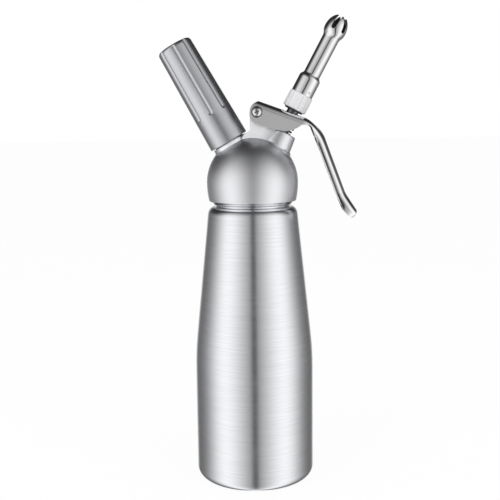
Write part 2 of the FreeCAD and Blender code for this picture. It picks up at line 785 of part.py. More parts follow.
def lever_runs():
    """Four runs of sections down the lever: plate, bend, grip and tail."""
    plate_way = heading(PLATE_SLOPE)
    start = PLATE_POINT + plate_way * ((PLATE_START - PLATE_POINT.x) / plate_way.x)
    end = PLATE_POINT + plate_way * ((BEND_START - PLATE_POINT.x) / plate_way.x)
    flat = (LEVER_HALF, PLATE_DEPTH, LEVER_FOLD_R, PLATE_CROWN)
    round_top = (GRIP_HALF, GRIP_DEPTH, GRIP_FOLD_R, GRIP_CROWN)
    wide_top = (GRIP_TOP_HALF,) + round_top[1:]
    plate = [(point, PLATE_SLOPE) + flat for point in (start, end)]

    bend = []
    centre = end - outward(PLATE_SLOPE) * BEND_R
    for i in range(BEND_STEPS + 1):
        share = i / BEND_STEPS
        narrow = share * share * (3 - 2 * share)
        slope = PLATE_SLOPE + (GRIP_SLOPE - PLATE_SLOPE) * share
        blended = tuple(a + (b - a) * narrow for a, b in zip(flat, wide_top))
        bend.append((centre + outward(slope) * BEND_R, slope) + blended)

    grip_end = bend[-1][0] + heading(GRIP_SLOPE) * GRIP_LENGTH
    grip = [bend[-1], (grip_end, GRIP_SLOPE) + round_top]

    tail = [grip[-1]]
    centre = grip_end + outward(GRIP_SLOPE) * TAIL_R
    for i in range(1, 4):
        slope = GRIP_SLOPE + (TAIL_SLOPE - GRIP_SLOPE) * i / 3
        tail.append((centre - outward(slope) * TAIL_R, slope) + round_top)
    tail_end = tail[-1][0]
    for reach, half in TAIL_ROUNDING:
        point = tail_end + heading(TAIL_SLOPE) * reach
        fold = GRIP_FOLD_R * half / GRIP_HALF
        tail.append((point, TAIL_SLOPE, half, GRIP_DEPTH, fold, GRIP_CROWN))
    return plate, bend, grip, tail


def lever_side():
    """Side outline that trims the bent channel; its top runs clear above the sheet."""
    return outline(
        (-1.25, 248.6),
        (-0.35, 251.7, 2.13, 253.9),
        (8.0, 256.7),
        (20.0, 262.0),
        (60.0, 262.0),
        (80.0, 230.0),
        (80.0, 186.0),
        (68.9, 184.4),
        (69.0, 180.6, 67.2, 178.3),
        (65.4, 177.9, 63.4, 179.5),
        (60.4, 182.6),
        (57.6, 189.1),
        (39.6, 236.4),
        (38.4, 238.6, 36.2, 239.4),
        (32.4, 239.4),
        (27.0, 236.4, 20.4, 235.5),
        (13.5, 236.7),
        (4.6, 239.9),
        (-0.4, 243.0, -1.25, 248.6),
    )


def lever():
    lengths = []
    for run in lever_runs():
        sections = [lever_section(*station) for station in run]
        lengths.append(Part.makeLoft(sections, True, len(run) == 2))
    channel = lengths[0].fuse(lengths[1:])
    body = channel.common(slab(lever_side(), 20))
    holes = Part.makeCylinder(PIVOT_R + RUNNING_GAP, 40, PIVOT - V(0, 20, 0), V(0, 1, 0))
    reach = STEM_SLOT / 2
    run = STEM_SLOT_LENGTH / 2 - reach
    slot = Part.makeBox(2 * run, STEM_SLOT, 12, V(-run, -reach, -6))
    for end in (-run, run):
        slot = slot.fuse(Part.makeCylinder(reach, 12, V(end, 0, -6)))
    slot.rotate(V(0, 0, 0), V(0, 1, 0), PLATE_SLOPE)
    to_plate = (PLATE_POINT - PIVOT).dot(outward(PLATE_SLOPE))
    slot.translate(PIVOT + outward(PLATE_SLOPE) * to_plate + heading(PLATE_SLOPE) * STEM_SLOT_AT)
    return body.cut([holes, slot])


def pivot_sleeve():
    """Headed sleeve through the lever and the hub, threaded inside for the screw."""
    head_y = LEVER_HALF + 0.15
    profile = turned(
        (SLEEVE_BORE_R, -LEVER_HALF),
        (PIVOT_R, -LEVER_HALF),
        (PIVOT_R, head_y),
        (RING_R, head_y),
        (RING_R, head_y + 0.7),
        (RING_R - 0.45, head_y + 1.1),
        (SLEEVE_BORE_R, head_y + 1.1),
    )
    profile.rotate(V(0, 0, 0), V(1, 0, 0), -90)
    profile.translate(PIVOT)
    return profile


def pivot_washer():
    washer = tube(RING_R, SLEEVE_BORE_R + 0.05, LEVER_HALF + 0.15, LEVER_HALF + 0.6)
    washer.rotate(V(0, 0, 0), V(1, 0, 0), 90)
    washer.translate(PIVOT)
    return washer


def pivot_screw():
    under = LEVER_HALF + 0.62
    screw = turned(
        (0, SCREW_END),
        (SLEEVE_BORE_R - 0.02, SCREW_END),
        (SLEEVE_BORE_R - 0.02, under),
        (SCREW_HEAD_R, under),
        (SCREW_HEAD_R, under + 0.9),
        (2.1, under + 1.7, 0, under + 1.95),
    )
    length = CROSS_LENGTH
    width = CROSS_WIDTH
    bar = Part.makeBox(length, width, 2, V(-length / 2, -width / 2, under + 0.9))
    cross = bar.fuse(Part.makeBox(width, length, 2, V(-width / 2, -length / 2, under + 0.9)))
    cross.rotate(V(0, 0, 0), V(0, 0, 1), CROSS_TURN)
    screw = screw.cut(cross)
    screw.rotate(V(0, 0, 0), V(1, 0, 0), 90)
    screw.translate(PIVOT)
    return screw


NODES = {
    "bottle": bottle,
    "head_gasket": head_gasket,
    "head": head,
    "piercing_pin": piercing_pin,
    "pin_seal": pin_seal,
    "check_valve": check_valve,
    "gas_charger": gas_charger,
    "charger_holder": charger_holder,
    "valve_guide": valve_guide,
    "valve_stem": valve_stem,
    "stem_o_ring": stem_o_ring,
    "valve_seal": valve_seal,
    "valve_plug": valve_plug,
    "valve_spring": valve_spring,
    "spring_cap": spring_cap,
    "tip_gasket": tip_gasket,
    "tip_base": tip_base,
    "decorating_tip": decorating_tip,
    "lever": lever,
    "pivot_sleeve": pivot_sleeve,
    "pivot_washer": pivot_washer,
    "pivot_screw": pivot_screw,
}


def main():
    os.makedirs("parts", exist_ok=True)
    for name, make in NODES.items():
        shape = make()
        solids = shape.Solids
        sound = shape.isValid() and len(solids) == 1
        shape = solids[0] if len(solids) == 1 else Part.makeCompound(solids)
        shape.exportStep("parts/%s.step" % name)
        print("%-16s %8.2f cm3 %s" % (name, shape.Volume / 1000, "" if sound else "CHECK"))


main()
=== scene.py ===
from math import cos, radians, sin

import bpy
from mathutils import Matrix, Vector


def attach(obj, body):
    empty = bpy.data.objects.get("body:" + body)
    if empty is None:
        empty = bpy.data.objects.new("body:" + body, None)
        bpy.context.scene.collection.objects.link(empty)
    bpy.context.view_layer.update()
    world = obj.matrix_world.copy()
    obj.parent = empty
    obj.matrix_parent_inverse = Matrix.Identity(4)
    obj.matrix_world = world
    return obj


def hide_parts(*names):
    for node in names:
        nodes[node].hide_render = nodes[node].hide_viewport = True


# Whipped cream dispenser. The origin is at the middle of the foot, +Z runs up the bottle,
# +X points to the lever's side and -Y to the camera.

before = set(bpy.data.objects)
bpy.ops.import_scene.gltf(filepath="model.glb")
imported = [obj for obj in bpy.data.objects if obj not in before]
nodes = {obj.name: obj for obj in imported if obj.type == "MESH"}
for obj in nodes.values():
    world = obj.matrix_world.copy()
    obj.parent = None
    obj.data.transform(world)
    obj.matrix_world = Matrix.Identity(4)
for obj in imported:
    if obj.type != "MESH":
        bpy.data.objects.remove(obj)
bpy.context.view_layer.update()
bpy.ops.object.select_all(action="DESELECT")

MM = 0.001

# Head: its dome, the chamfer at its foot, its web and its valve boss
DOME_CENTRE = Vector((0, 0, 202.0)) * MM
DOME_R = 30.35 * MM
DOME_SKIN = 0.1 * MM
SKIN_FADE = 0.2 * MM
CHAMFER_TOP = (190.2 * MM, 189.7 * MM)
WEB_FOOT = (214.0 * MM, 216.0 * MM)
WEB_SIDE = (9.0 * MM, 9.1 * MM)
BOSS_TURNS_AWAY = (-11.5 * MM, -3.0 * MM)
# Heights over which the dome's colour darkens towards its top, as painted shade
DOME_CROWN_PAINTED_SHADE = (219.0 * MM, 230.0 * MM)

# Leaning axes of the charger and the valve
CHARGER_FOOT = Vector((0, 0, 202.0)) * MM
CHARGER_TILT = radians(-29.5)
VALVE_FOOT = Vector((2.4, 0, 202.0)) * MM
VALVE_TILT = radians(28.1)

# Lever's outer line, from its plate through its bend and grip to its tail
PLATE_SLOPE = radians(20.0)
PLATE_POINT = Vector((5.7, 0, 254.5)) * MM
BEND_START = 34.05 * MM
BEND_R = 25.0 * MM
GRIP_SLOPE = radians(69.6)
GRIP_LENGTH = 35.5 * MM
TAIL_CORNER = 2.3 * MM
TAIL_SLOPE = radians(56.5)
PLATE_FADE = (37.0 * MM, 48.0 * MM)
PLATE_SIDE = (11.94 * MM, 11.99 * MM)
FOLD_END = 4.4 * MM
FOLD_CURVE = 125.0
SATIN_TOP = (3.4 * MM, 4.6 * MM)
DISH_TOP = 4.3 * MM
DISH_CURVE = 12.0

# Decorating tip, in millimetres up the valve's axis
TIP_PROFILE = (
    (7.28, 64.86), (7.35, 64.95), (7.35, 70.0), (7.35, 75.3), (7.33, 75.9), (7.25, 76.4),
    (7.06, 76.9), (6.75, 77.4), (6.40, 77.85), (6.08, 78.25), (5.84, 78.6), (5.70, 78.95),
    (5.65, 79.4), (5.65, 92.0), (5.65, 104.8), (5.70, 105.5), (5.85, 106.1), (6.10, 106.7),
    (6.40, 107.3), (6.70, 107.9), (6.98, 108.6), (7.20, 109.4), (7.34, 110.3), (7.38, 111.3),
    (7.34, 112.4), (7.20, 113.6), (6.97, 114.8), (6.62, 116.0), (6.14, 117.2), (5.52, 118.3),
    (4.75, 119.4), (3.60, 120.55),
)
TIP_FACETS = 96
TIP_WALL = 0.75
TIP_EDGE = 0.12
TIP_SLOTS = 6
TIP_SLOT = 2.9
TIP_SLOT_ROOT = 112.2
TIP_SLOT_TURN = -18.0
CUTTER_LENGTH = 20.0
DIMPLE_R = 1.0
DIMPLE_OUT = 8.0
DIMPLE_HEIGHT = 67.4
DIMPLE_TURN = radians(29)


# Shader helpers

def new_material(name):
    material = bpy.data.materials.new(name)
    material.use_nodes = True
    tree = material.node_tree
    return material, tree, tree.nodes["Principled BSDF"]


def node(tree, kind, **settings):
    made = tree.nodes.new(kind)
    for key, value in settings.items():
        setattr(made, key, value)
    return made


def plug(tree, target, value):
    """Sets a socket to a number or colour, or links it to another socket."""
    if isinstance(value, bpy.types.NodeSocket):
        tree.links.new(value, target)
    else:
        target.default_value = value


def plugged(tree, target):
    """The socket that feeds this one."""
    return target.links[0].from_socket


def maths(tree, operation, a, b=0.0, c=0.0):
    made = node(tree, "ShaderNodeMath", operation=operation)
    for socket, value in zip(made.inputs, (a, b, c)):
        plug(tree, socket, value)
    return made.outputs[0]


def times(tree, a, b):
    return maths(tree, "MULTIPLY", a, b)


def one_minus(tree, value):
    return maths(tree, "SUBTRACT", 1.0, value)


def remap(tree, value, low, high, to_low=0.0, to_high=1.0, smooth=False):
    kind = "SMOOTHSTEP" if smooth else "LINEAR"
    made = node(tree, "ShaderNodeMapRange", interpolation_type=kind)
    for socket, number in zip(made.inputs, (value, low, high, to_low, to_high)):
        plug(tree, socket, number)
    return made.outputs["Result"]


def mixed(tree, factor, first, second):
    """A number that goes from the first to the second."""
    made = node(tree, "ShaderNodeMix", data_type="FLOAT")
    plug(tree, made.inputs["Factor"], factor)
    plug(tree, made.inputs["A"], first)
    plug(tree, made.inputs["B"], second)
    return made.outputs["Result"]


def tinted(tree, factor, first, second):
    """A colour that goes from the first to the second."""
    made = node(tree, "ShaderNodeMix", data_type="RGBA")
    plug(tree, made.inputs["Factor"], factor)
    for label, colour in (("A", first), ("B", second)):
        linked = isinstance(colour, bpy.types.NodeSocket)
        plug(tree, made.inputs[label], colour if linked else (*colour, 1))
    return made.outputs["Result"]


def noise(tree, vector, scale, detail=2.0, roughness=0.5):
    made = node(tree, "ShaderNodeTexNoise")
    plug(tree, made.inputs["Vector"], vector)
    plug(tree, made.inputs["Scale"], scale)
    made.inputs["Detail"].default_value = detail
    made.inputs["Roughness"].default_value = roughness
    return made.outputs["Fac"]


def stretched(tree, vector, scale):
    made = node(tree, "ShaderNodeMapping")
    plug(tree, made.inputs["Vector"], vector)
    made.inputs["Scale"].default_value = scale
    return made.outputs["Vector"]


def object_point(tree):
    return node(tree, "ShaderNodeTexCoord").outputs["Object"]


def along_axis(tree, foot, tilt):
    """The point seen from a leaning axis: Z runs up that axis."""
    made = node(tree, "ShaderNodeMapping", vector_type="TEXTURE")
    plug(tree, made.inputs["Vector"], object_point(tree))
    made.inputs["Location"].default_value = foot
    made.inputs["Rotation"].default_value = (0, tilt, 0)
    return made.outputs["Vector"]


def xyz(tree, vector):
    made = node(tree, "ShaderNodeSeparateXYZ")
    plug(tree, made.inputs[0], vector)
    return made.outputs


def vector_of(tree, x, y, z=0.0):
    made = node(tree, "ShaderNodeCombineXYZ")
    for socket, value in zip(made.inputs, (x, y, z)):
        plug(tree, socket, value)
    return made.outputs[0]


def vector_maths(tree, operation, *values, result="Value"):
    made = node(tree, "ShaderNodeVectorMath", operation=operation)
    for socket, value in zip(made.inputs, values):
        plug(tree, socket, value)
    return made.outputs[result]


def bumped(tree, height, distance, normal=None):
    made = node(tree, "ShaderNodeBump")
    plug(tree, made.inputs["Height"], height)
    made.inputs["Distance"].default_value = distance
    made.inputs["Strength"].default_value = 1.0
    if normal is not None:
        plug(tree, made.inputs["Normal"], normal)
    return made.outputs["Normal"]


def rounded_edges(tree, radius, samples):
    made = node(tree, "ShaderNodeBevel", samples=samples)
    made.inputs["Radius"].default_value = radius
    return made.outputs[0]


# Shared effects

def effect_group(name, values, outputs):
    """Empty node group with a point, some numbers and its results."""
    tree = bpy.data.node_groups.new(name, "ShaderNodeTree")
    tree.interface.new_socket("Point", in_out="INPUT", socket_type="NodeSocketVector")
    for label, default in values:
        socket = tree.interface.new_socket(label, in_out="INPUT", socket_type="NodeSocketFloat")
        socket.default_value = default
    for label in outputs:
        tree.interface.new_socket(label, in_out="OUTPUT", socket_type="NodeSocketFloat")
    inside = tree.nodes.new("NodeGroupInput")
    outside = tree.nodes.new("NodeGroupOutput")
    return tree, inside.outputs, outside.inputs


def turning_lines_group():
    """Fine rings left by a brush or a cutter on something that turned about Z."""
    tree, given, result = effect_group(
        "turning lines", [("Fineness", 3000.0), ("Streaks", 12.0)], ["Lines", "Broad"]
    )
    x, y, z = xyz(tree, given["Point"])

    def rings(fineness):
        streaks = given["Streaks"]
        return vector_of(tree, times(tree, x, streaks), times(tree, y, streaks), times(tree, z, fineness))

    broad_fineness = times(tree, given["Fineness"], 0.3)
    plug(tree, result["Lines"], noise(tree, rings(given["Fineness"]), 1.0, 3.0, 0.65))
    plug(tree, result["Broad"], noise(tree, rings(broad_fineness), 1.0))
    return tree


def blasted_grain_group():
    """Even fine grain of a blasted and anodised casting, with faint clouds."""
    tree, given, result = effect_group(
        "blasted grain", [("Fineness", 4500.0)], ["Grain", "Clouds"]
    )
    plug(tree, result["Grain"], noise(tree, given["Point"], given["Fineness"]))
    plug(tree, result["Clouds"], noise(tree, given["Point"], 90.0, 3.0, 0.6))
    return tree


def handling_group():
    """Faint smudges and hairline marks from handling."""
    tree, given, result = effect_group("handling", [("Amount", 1.0)], ["Smudge", "Marks"])
    smudge = remap(tree, noise(tree, given["Point"], 28.0, 4.0, 0.6), 0.45, 0.75)
    marks = noise(tree, stretched(tree, given["Point"], (900, 60, 260)), 1.0, 1.0, 0.4)
    plug(tree, result["Smudge"], times(tree, smudge, given["Amount"]))
    plug(tree, result["Marks"], times(tree, remap(tree, marks, 0.70, 0.76), given["Amount"]))
    return tree


TURNING_LINES = turning_lines_group()
BLASTED_GRAIN = blasted_grain_group()
HANDLING = handling_group()


def effect(tree, group, point, **values):
    made = node(tree, "ShaderNodeGroup", node_tree=group)
    plug(tree, made.inputs["Point"], point)
    for label, value in values.items():
        made.inputs[label].default_value = value
    return made.outputs


def share_of(tree, first, second, share):
    """Two patterns added up, with this share of the first."""
    return maths(tree, "MULTIPLY_ADD", first, share, times(tree, second, 1.0 - share))


# Finishes

def turned_metal(name, light, dark, roughness, point, lines_depth, fineness, streaks=12.0):
    """Brushed or turned metal: rings in its colour, gloss and surface."""
    material, tree, surface = new_material(name)
    lines = effect(tree, TURNING_LINES, point(tree), Fineness=fineness, Streaks=streaks)
    wear = effect(tree, HANDLING, object_point(tree))
    shade = remap(tree, share_of(tree, lines["Broad"], lines["Lines"], 0.35), 0.3, 0.7)
    plug(tree, surface.inputs["Base Color"], tinted(tree, shade, dark, light))
    gloss = remap(tree, lines["Lines"], 0.3, 0.7, *roughness)
    plug(tree, surface.inputs["Roughness"], maths(tree, "MULTIPLY_ADD", wear["Smudge"], 0.03, gloss))
    surface.inputs["Metallic"].default_value = 1.0
    plug(tree, surface.inputs["Normal"], bumped(tree, lines["Lines"], lines_depth))
    return material


def bottle_finish():
    """Brushed round and round, so its gloss spreads up and down."""
    material = turned_metal(
        "bottle_aluminium", (0.955, 0.965, 0.99), (0.80, 0.81, 0.835), (0.14, 0.22),
        object_point, 0.003 * MM, 5200.0, 45.0,
    )
    tree = material.node_tree
    surface = tree.nodes["Principled BSDF"]
    surface.inputs["Anisotropic"].default_value = 0.55
    around = node(tree, "ShaderNodeTangent", direction_type="RADIAL", axis="Z")
    plug(tree, surface.inputs["Tangent"], around.outputs[0])
    return material


def holder_finish():
    return turned_metal(
        "holder_aluminium", (0.75, 0.76, 0.785), (0.62, 0.63, 0.655), (0.30, 0.36),
        lambda tree: along_axis(tree, CHARGER_FOOT, CHARGER_TILT), 0.002 * MM, 7000.0,
    )


def head_finish():
    """Blasted casting: bright chamfer at its foot, its crown darkened in colour as painted shade, and its
    web's flat faces made less metallic so they look lighter, as painted light.
    """
    material, tree, surface = new_material("head_aluminium")
    where = object_point(tree)
    grain = effect(tree, BLASTED_GRAIN, where)
    across, high = xyz(tree, where)[1:3]
    chamfer = remap(tree, high, *CHAMFER_TOP)
    from_centre = vector_maths(tree, "DISTANCE", where, DOME_CENTRE)
    skin = DOME_R + DOME_SKIN
    off_dome = remap(tree, from_centre, skin, skin + SKIN_FADE)

    shade = share_of(tree, grain["Clouds"], grain["Grain"], 0.3)
    cast_colour = tinted(tree, shade, (0.90, 0.91, 0.93), (0.97, 0.975, 1.0))
    # Painted shade: the dome's colour darkens towards its top, below the web.
    crown = times(tree, remap(tree, high, *DOME_CROWN_PAINTED_SHADE, 0.0, 0.68), one_minus(tree, off_dome))
    plug(tree, surface.inputs["Base Color"], tinted(tree, crown, cast_colour, (0.16, 0.16, 0.17)))

    satin = remap(tree, grain["Grain"], 0.3, 0.7, 0.36, 0.42)
    plug(tree, surface.inputs["Roughness"], mixed(tree, chamfer, satin, 0.12))

    above_foot = remap(tree, high, *WEB_FOOT)
    on_side = remap(tree, maths(tree, "ABSOLUTE", across), *WEB_SIDE)
    in_boss = xyz(tree, along_axis(tree, VALVE_FOOT, VALVE_TILT))[0]
    before_boss = remap(tree, in_boss, *BOSS_TURNS_AWAY, 1.0, 0.0)
    # Painted light: the web's flat faces are made less metallic, so they show lighter than the rest of
    # the same casting.
    web_painted_light = times(tree, times(tree, off_dome, above_foot), times(tree, on_side, before_boss))
    plug(tree, surface.inputs["Metallic"], maths(tree, "MULTIPLY_ADD", web_painted_light, -0.55, 1.0))

    height = times(tree, grain["Grain"], one_minus(tree, chamfer))
    soft = rounded_edges(tree, 0.8 * MM, 6)
    plug(tree, surface.inputs["Normal"], bumped(tree, height, 0.012 * MM, soft))
    return material


def steel(name, light, dark, roughness, grain_depth=0.0, rounding=0.3 * MM):
    """Pressed or polished steel: faint grain, smudges and hairline marks."""
    material, tree, surface = new_material(name)
    where = object_point(tree)
    grain = effect(tree, BLASTED_GRAIN, where, Fineness=3500.0)
    wear = effect(tree, HANDLING, where)
    shade = maths(tree, "SUBTRACT", grain["Clouds"], times(tree, wear["Marks"], 0.15))
    plug(tree, surface.inputs["Base Color"], tinted(tree, shade, dark, light))
    gloss = maths(tree, "MULTIPLY_ADD", wear["Smudge"], 0.05, roughness)
    plug(tree, surface.inputs["Roughness"], maths(tree, "MULTIPLY_ADD", wear["Marks"], 0.04, gloss))
    surface.inputs["Metallic"].default_value = 1.0
    if rounding:
        soft = rounded_edges(tree, rounding, 4)
        plug(tree, surface.inputs["Normal"], bumped(tree, grain["Grain"], grain_depth, soft))
    return material


def tip_finish():
    """Polished steel outside; rougher inside and in the slots, where its colour is also darkened as
    painted shade.
    """
    material = steel("tip_steel", (0.94, 0.94, 0.95), (0.89, 0.89, 0.90), 0.07)
    tree = material.node_tree
    surface = tree.nodes["Principled BSDF"]
    x, y, _ = xyz(tree, along_axis(tree, VALVE_FOOT, VALVE_TILT))
    leaning = node(tree, "ShaderNodeVectorRotate", rotation_type="Y_AXIS")
    plug(tree, leaning.inputs["Vector"], vector_of(tree, x, y))
    leaning.inputs["Angle"].default_value = VALVE_TILT
    outwards = vector_maths(tree, "NORMALIZE", leaning.outputs[0], result="Vector")
    normal = node(tree, "ShaderNodeTexCoord").outputs["Normal"]
    inside = remap(tree, vector_maths(tree, "DOT_PRODUCT", outwards, normal), 0.35, 0.05)
    polished_colour = plugged(tree, surface.inputs["Base Color"])
    # Painted shade: the inside and the slot walls are darkened in colour.
    plug(tree, surface.inputs["Base Color"], tinted(tree, inside, polished_colour, (0.10, 0.10, 0.11)))
    polished = plugged(tree, surface.inputs["Roughness"])
    plug(tree, surface.inputs["Roughness"], maths(tree, "MULTIPLY_ADD", inside, 0.35, polished))
    return material


def heading(slope):
    return Vector((cos(slope), 0, -sin(slope)))


def outward(slope):
    return Vector((sin(slope), 0, cos(slope)))


def beyond(tree, point, start, way):
    """How far a point lies beyond a start, in one direction."""
    offset = vector_maths(tree, "SUBTRACT", point, start, result="Vector")
    return vector_maths(tree, "DOT_PRODUCT", offset, way)


def depth_in_lever(tree, point):
    """How far a point lies inside the lever's outer line, from the plate to the tail."""
    plate_run = (BEND_START - PLATE_POINT.x) / cos(PLATE_SLOPE)
    bend_start = PLATE_POINT + heading(PLATE_SLOPE) * plate_run
    centre = bend_start - outward(PLATE_SLOPE) * BEND_R
    bend_end = centre + outward(GRIP_SLOPE) * BEND_R
    tail_start = bend_end + heading(GRIP_SLOPE) * (GRIP_LENGTH + TAIL_CORNER)
    plate = beyond(tree, point, bend_start, -outward(PLATE_SLOPE))
    grip = beyond(tree, point, bend_end, -outward(GRIP_SLOPE))
    tail = beyond(tree, point, tail_start, -outward(TAIL_SLOPE))
    straight = maths(tree, "MINIMUM", plate, maths(tree, "MAXIMUM", grip, tail))
    in_plane = vector_maths(tree, "MULTIPLY_ADD", point, (1, 0, 1), -centre, result="Vector")
    around_bend = maths(tree, "SUBTRACT", BEND_R, vector_maths(tree, "LENGTH", in_plane))
    after_start = maths(tree, "GREATER_THAN", beyond(tree, point, centre, heading(PLATE_SLOPE)), 0.0)
    before_end = maths(tree, "LESS_THAN", beyond(tree, point, centre, heading(GRIP_SLOPE)), 0.0)
    return mixed(tree, times(tree, after_start, before_end), straight, around_bend)


def curve_past(tree, distance, curve):
    """Height that falls away with the square of a distance, and is zero before it."""
    past = maths(tree, "MAXIMUM", distance, 0.0)
    return times(tree, times(tree, past, past), -curve)


def lever_finish():
    """Bright pressed steel with satin side plates, a soft top fold and slightly dished grip sides."""
    material = steel(
        "lever_steel", (0.96, 0.96, 0.97), (0.91, 0.91, 0.92), 0.06, rounding=None,
    )
    tree = material.node_tree
    surface = tree.nodes["Principled BSDF"]
    where = object_point(tree)
    x, y, _ = xyz(tree, where)
    deep = depth_in_lever(tree, where)
    on_plate = remap(tree, x, *PLATE_FADE, 1.0, 0.0)
    fold = curve_past(tree, maths(tree, "SUBTRACT", FOLD_END, deep), FOLD_CURVE)
    dish = curve_past(tree, maths(tree, "SUBTRACT", deep, DISH_TOP), DISH_CURVE)
    plug(tree, surface.inputs["Normal"], bumped(tree, mixed(tree, on_plate, dish, fold), 1.0))
    on_side = remap(tree, maths(tree, "ABSOLUTE", y), *PLATE_SIDE)
    satin = times(tree, on_side, remap(tree, deep, *SATIN_TOP))
    polished = plugged(tree, surface.inputs["Roughness"])
    plug(tree, surface.inputs["Roughness"], maths(tree, "MULTIPLY_ADD", satin, 0.40, polished))
    return material


def moulded(name, light, dark, roughness, depth, fineness=2500.0):
    """Moulded plastic or rubber with a fine skin."""
    material, tree, surface = new_material(name)
    grain = effect(tree, BLASTED_GRAIN, object_point(tree), Fineness=fineness)
    shade = share_of(tree, grain["Clouds"], grain["Grain"], 0.7)
    plug(tree, surface.inputs["Base Color"], tinted(tree, shade, dark, light))
    gloss = remap(tree, grain["Grain"], 0.3, 0.7, roughness, roughness + 0.08)
    plug(tree, surface.inputs["Roughness"], gloss)
    plug(tree, surface.inputs["Normal"], bumped(tree, grain["Grain"], depth))
    return material


# Decorating tip

def placed(piece):
    """Puts a piece's place, turn and scale into its mesh."""
    bpy.ops.object.select_all(action="DESELECT")
    piece.select_set(True)
    bpy.context.view_layer.objects.active = piece
    bpy.ops.object.transform_apply(location=True, rotation=True, scale=True)


def finished(piece, kind, name, **settings):
    """Adds a modifier and applies it."""
    bpy.context.view_layer.objects.active = piece
    made = piece.modifiers.new(name, kind)
    for key, value in settings.items():
        setattr(made, key, value)
    bpy.ops.object.modifier_apply(modifier=made.name)


def joined(piece, tool, operation):
    """Adds a tool to a piece or cuts it away, and removes the tool."""
    finished(piece, "BOOLEAN", "tool", operation=operation, object=tool, solver="EXACT")
    bpy.data.objects.remove(tool)


def rings_up(name, profile):
    """Open skin about Z: a circle that is drawn up through rings of (radius, height)."""
    radius, height = profile[0]
    bpy.ops.mesh.primitive_circle_add(
        vertices=TIP_FACETS, radius=radius * MM, location=(0, 0, height * MM)
    )
    piece = bpy.context.object
    piece.name = name
    placed(piece)
    bpy.ops.object.mode_set(mode="EDIT")
    bpy.ops.mesh.select_mode(type="EDGE")
    bpy.ops.mesh.select_all(action="SELECT")
    for next_radius, next_height in profile[1:]:
        rise = (next_height - height) * MM
        grow = next_radius / radius
        bpy.ops.mesh.extrude_edges_move(TRANSFORM_OT_translate={"value": (0, 0, rise)})
        bpy.ops.transform.resize(value=(grow, grow, 1), center_override=(0, 0, next_height * MM))
        radius, height = next_radius, next_height
    bpy.ops.object.mode_set(mode="OBJECT")
    return piece


def slot_cutter(turn):
    """Bar with a round foot that cuts one slot between two prongs."""
    reach = CUTTER_LENGTH / 2
    bpy.ops.mesh.primitive_cube_add(size=1, location=(0, -reach * MM, (TIP_SLOT_ROOT + reach) * MM))
    bar = bpy.context.object
    bar.scale = (TIP_SLOT * MM, CUTTER_LENGTH * MM, CUTTER_LENGTH * MM)
    placed(bar)
    bpy.ops.mesh.primitive_cylinder_add(
        vertices=32, radius=TIP_SLOT / 2 * MM, depth=CUTTER_LENGTH * MM,
        location=(0, -reach * MM, TIP_SLOT_ROOT * MM), rotation=(radians(90), 0, 0),
    )
    foot = bpy.context.object
    placed(foot)
    joined(bar, foot, "UNION")
    bar.rotation_euler = (0, 0, radians(turn))
    placed(bar)
    return bar


def dimple_cutter():
    bpy.ops.mesh.primitive_uv_sphere_add(
        segments=24, ring_count=16, radius=DIMPLE_R * MM,
        location=(
            sin(DIMPLE_TURN) * DIMPLE_OUT * MM,
            -cos(DIMPLE_TURN) * DIMPLE_OUT * MM,
            DIMPLE_HEIGHT * MM,
        ),
    )
    return bpy.context.object


def pronged_tip():
    """Thin polished tube with a wide socket, a swollen crown and six pointed prongs."""
    tip = rings_up("pronged_tip", TIP_PROFILE)
    finished(tip, "SOLIDIFY", "wall", thickness=TIP_WALL * MM, offset=-1.0, use_even_offset=True)
    for number in range(TIP_SLOTS):
        joined(tip, slot_cutter(TIP_SLOT_TURN + number * 360 / TIP_SLOTS), "DIFFERENCE")
    joined(tip, dimple_cutter(), "DIFFERENCE")
    finished(
        tip, "BEVEL", "edges", width=TIP_EDGE * MM, segments=2, limit_method="ANGLE",
        angle_limit=radians(50), use_clamp_overlap=True,
    )
    tip.matrix_world = Matrix.Translation(VALVE_FOOT) @ Matrix.Rotation(VALVE_TILT, 4, "Y")
    placed(tip)
    bpy.ops.object.shade_smooth_by_angle(angle=radians(35))
    return tip


tip_steel = tip_finish()
brass = steel("brass", (0.86, 0.68, 0.36), (0.74, 0.55, 0.27), 0.20, 0.003 * MM)
screw_steel = steel("screw_steel", (0.90, 0.90, 0.90), (0.82, 0.82, 0.82), 0.12, 0.002 * MM)
rubber = moulded("rubber", (0.040, 0.040, 0.042), (0.015, 0.015, 0.016), 0.50, 0.008 * MM)

FINISHES = {
    "bottle": bottle_finish(),
    "head_gasket": moulded("silicone", (0.62, 0.63, 0.64), (0.48, 0.49, 0.50), 0.45, 0.005 * MM),
    "head": head_finish(),
    "piercing_pin": brass,
    "pin_seal": rubber,
    "check_valve": rubber,
    "gas_charger": steel("charger_steel", (0.83, 0.83, 0.84), (0.72, 0.72, 0.74), 0.18, 0.004 * MM),
    "charger_holder": holder_finish(),
    "valve_guide": brass,
    "valve_stem": steel("stem_steel", (0.20, 0.20, 0.21), (0.14, 0.14, 0.15), 0.22, 0.003 * MM),
    "stem_o_ring": rubber,
    "valve_seal": rubber,
    "valve_plug": brass,
    "valve_spring": steel("spring_steel", (0.16, 0.16, 0.17), (0.09, 0.09, 0.10), 0.30, 0.003 * MM),
    "spring_cap": moulded(
        "cap_plastic", (0.030, 0.030, 0.032), (0.012, 0.012, 0.013), 0.35, 0.006 * MM,
    ),
    "tip_gasket": rubber,
    "tip_base": moulded(
        "tip_plastic", (0.68, 0.68, 0.70), (0.63, 0.63, 0.65), 0.22, 0.0005 * MM, 900.0,
    ),
    "decorating_tip": tip_steel,
    "lever": lever_finish(),
    "pivot_sleeve": screw_steel,
    "pivot_washer": screw_steel,
    "pivot_screw": screw_steel,
}
for name, finish in FINISHES.items():
    nodes[name].data.materials.clear()
    nodes[name].data.materials.append(finish)

tip = pronged_tip()
tip.data.materials.append(tip_steel)
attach(tip, "tip")
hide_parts("decorating_tip")


# Studio

